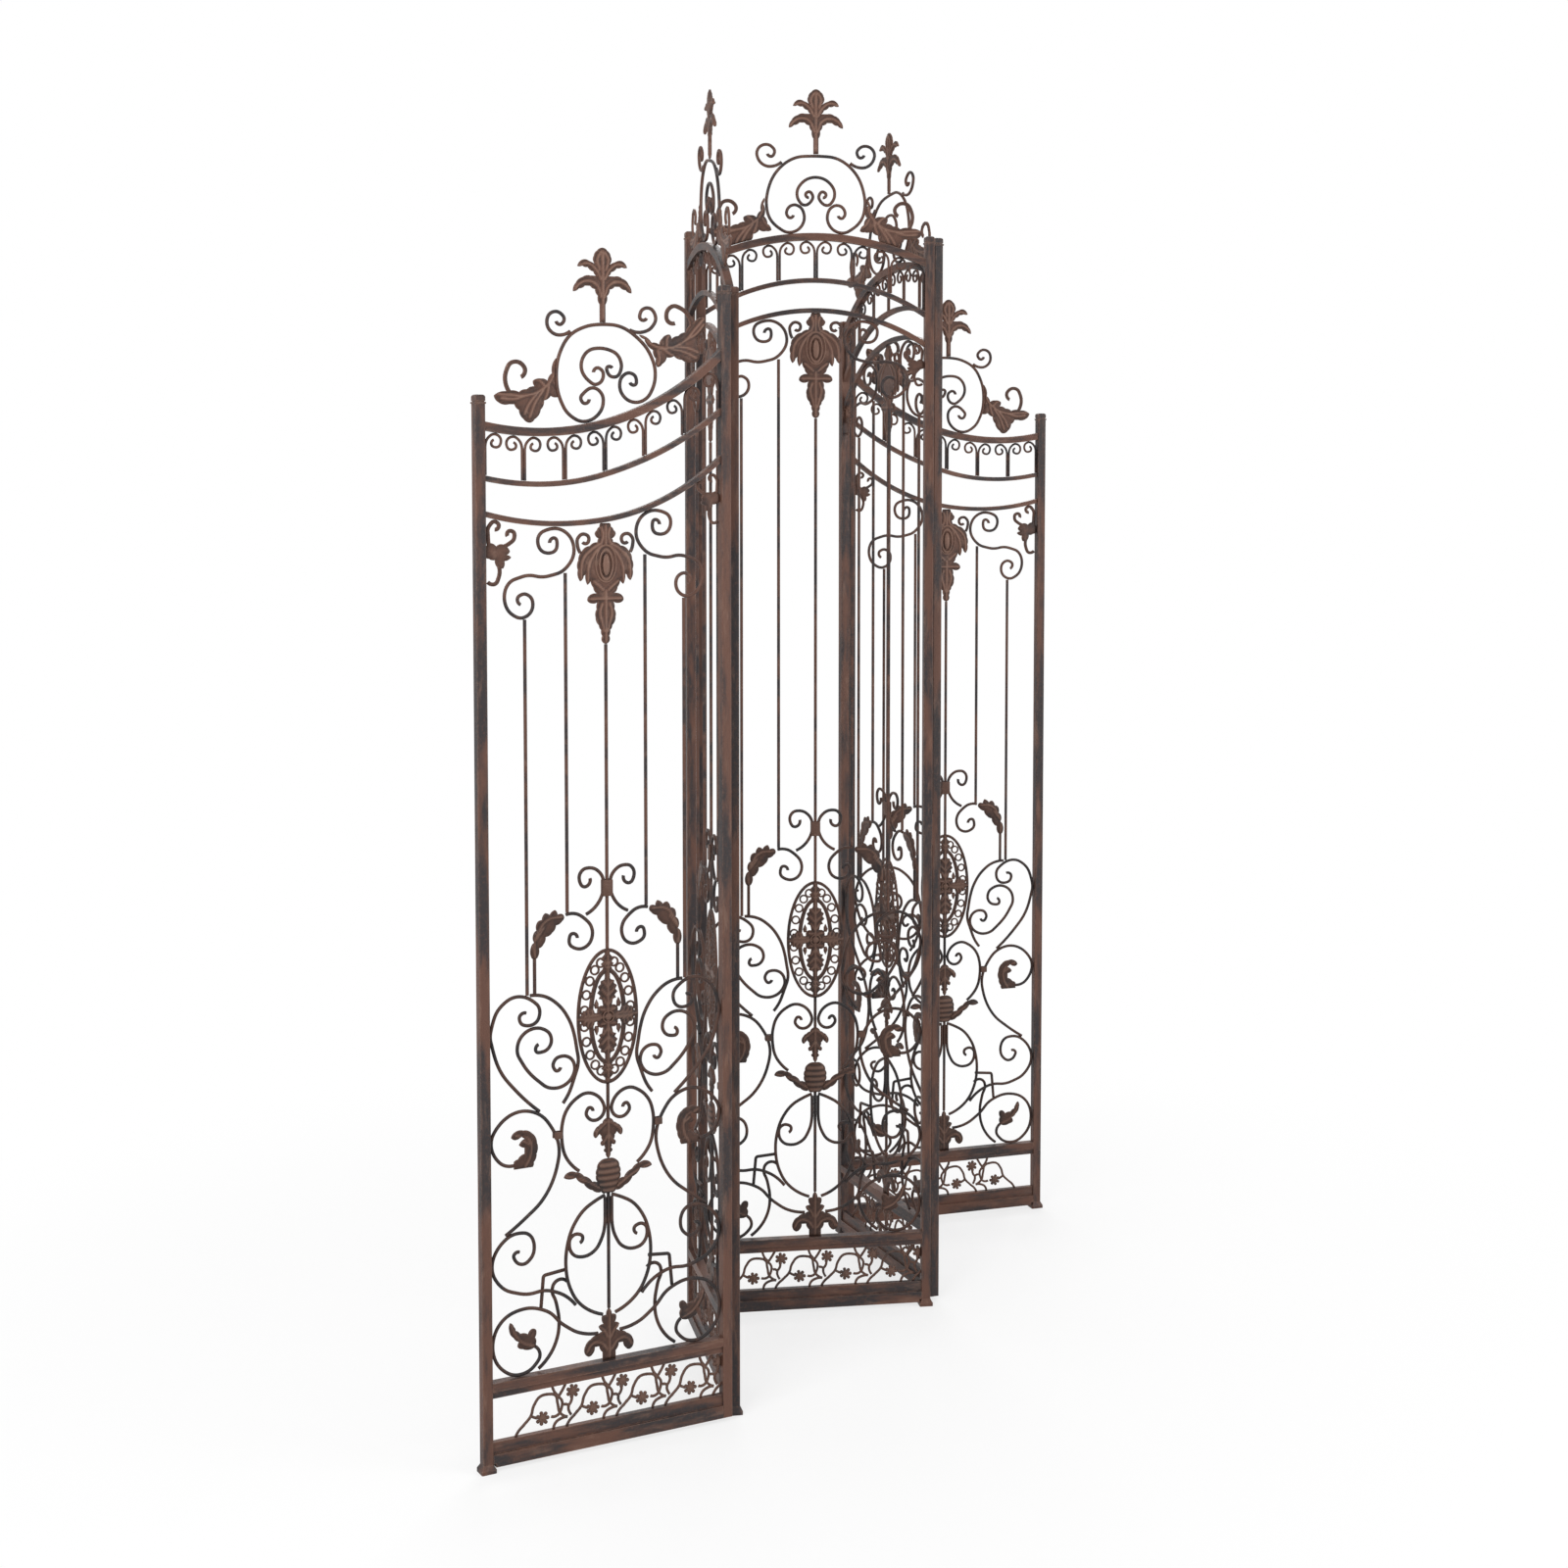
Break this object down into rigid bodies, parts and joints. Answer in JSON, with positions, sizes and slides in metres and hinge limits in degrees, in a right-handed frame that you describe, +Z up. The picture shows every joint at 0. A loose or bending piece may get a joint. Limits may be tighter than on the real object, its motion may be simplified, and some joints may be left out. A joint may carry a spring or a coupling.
{
  "type": "folding floor screen",
  "caption": "Tall folding wrought iron floor screen with arched crested panels, scrollwork, slim pickets, an oval medallion and a pierced vine frieze.",
  "frame": {"origin": "on the floor, at the middle of the bounding box's base", "axes": "+Z up, +X along the centre panel towards its right post, -Y towards the front"},
  "size_m": [1.309, 1.2536, 2.4098],
  "materials": {
    "wrought_iron": "aged brown-black iron with light rust",
    "cast_ornament": "aged brown-black castings, edges worn lighter",
    "hinge_steel": "dark aged steel"
  },
  "bodies": {
    "left_outer_panel": {"left_outer_left_post": "wrought_iron", "left_outer_right_post": "wrought_iron", "left_outer_arched_rails": "wrought_iron", "left_outer_base_rails": "wrought_iron", "left_outer_pickets": "wrought_iron", "left_outer_upper_scrolls": "wrought_iron", "left_outer_lower_scrolls": "wrought_iron", "left_outer_upper_castings": "cast_ornament", "left_outer_lower_castings": "cast_ornament", "left_outer_vine_frieze": "cast_ornament", "left_outer_hinge_knuckles": "hinge_steel"},
    "left_inner_panel": {"left_inner_left_post": "wrought_iron", "left_inner_right_post": "wrought_iron", "left_inner_arched_rails": "wrought_iron", "left_inner_base_rails": "wrought_iron", "left_inner_pickets": "wrought_iron", "left_inner_upper_scrolls": "wrought_iron", "left_inner_lower_scrolls": "wrought_iron", "left_inner_upper_castings": "cast_ornament", "left_inner_lower_castings": "cast_ornament", "left_inner_vine_frieze": "cast_ornament", "left_inner_hinge_knuckles": "hinge_steel", "left_inner_left_hinge_pins": "hinge_steel"},
    "centre_panel": {"centre_left_post": "wrought_iron", "centre_right_post": "wrought_iron", "centre_arched_rails": "wrought_iron", "centre_base_rails": "wrought_iron", "centre_pickets": "wrought_iron", "centre_upper_scrolls": "wrought_iron", "centre_lower_scrolls": "wrought_iron", "centre_upper_castings": "cast_ornament", "centre_lower_castings": "cast_ornament", "centre_vine_frieze": "cast_ornament", "centre_hinge_knuckles": "hinge_steel", "centre_left_hinge_pins": "hinge_steel", "centre_right_hinge_pins": "hinge_steel"},
    "right_inner_panel": {"right_inner_left_post": "wrought_iron", "right_inner_right_post": "wrought_iron", "right_inner_arched_rails": "wrought_iron", "right_inner_base_rails": "wrought_iron", "right_inner_pickets": "wrought_iron", "right_inner_upper_scrolls": "wrought_iron", "right_inner_lower_scrolls": "wrought_iron", "right_inner_upper_castings": "cast_ornament", "right_inner_lower_castings": "cast_ornament", "right_inner_vine_frieze": "cast_ornament", "right_inner_hinge_knuckles": "hinge_steel", "right_inner_right_hinge_pins": "hinge_steel"},
    "right_outer_panel": {"right_outer_left_post": "wrought_iron", "right_outer_right_post": "wrought_iron", "right_outer_arched_rails": "wrought_iron", "right_outer_base_rails": "wrought_iron", "right_outer_pickets": "wrought_iron", "right_outer_upper_scrolls": "wrought_iron", "right_outer_lower_scrolls": "wrought_iron", "right_outer_upper_castings": "cast_ornament", "right_outer_lower_castings": "cast_ornament", "right_outer_vine_frieze": "cast_ornament", "right_outer_hinge_knuckles": "hinge_steel"}
  },
  "joints": [
    {"name": "left_inner_hinge", "type": "hinge", "parent": "centre_panel", "child": "left_inner_panel", "pos_m": [-0.20316, 0.02967, 0.96], "axis": [0, 0, 1], "range_deg": [-92.8, 79.2]},
    {"name": "left_outer_hinge", "type": "hinge", "parent": "left_inner_panel", "child": "left_outer_panel", "pos_m": [-0.20807, -0.44313, 0.96], "axis": [0, 0, 1], "range_deg": [-106.7, 73.3]},
    {"name": "right_inner_hinge", "type": "hinge", "parent": "centre_panel", "child": "right_inner_panel", "pos_m": [0.26884, 0.05767, 0.96], "axis": [0, 0, 1], "range_deg": [-103.4, 68.6]},
    {"name": "right_outer_hinge", "type": "hinge", "parent": "right_inner_panel", "child": "right_outer_panel", "pos_m": [0.18669, 0.52331, 0.96], "axis": [0, 0, 1], "range_deg": [-85.9, 94.1]}
  ]
}
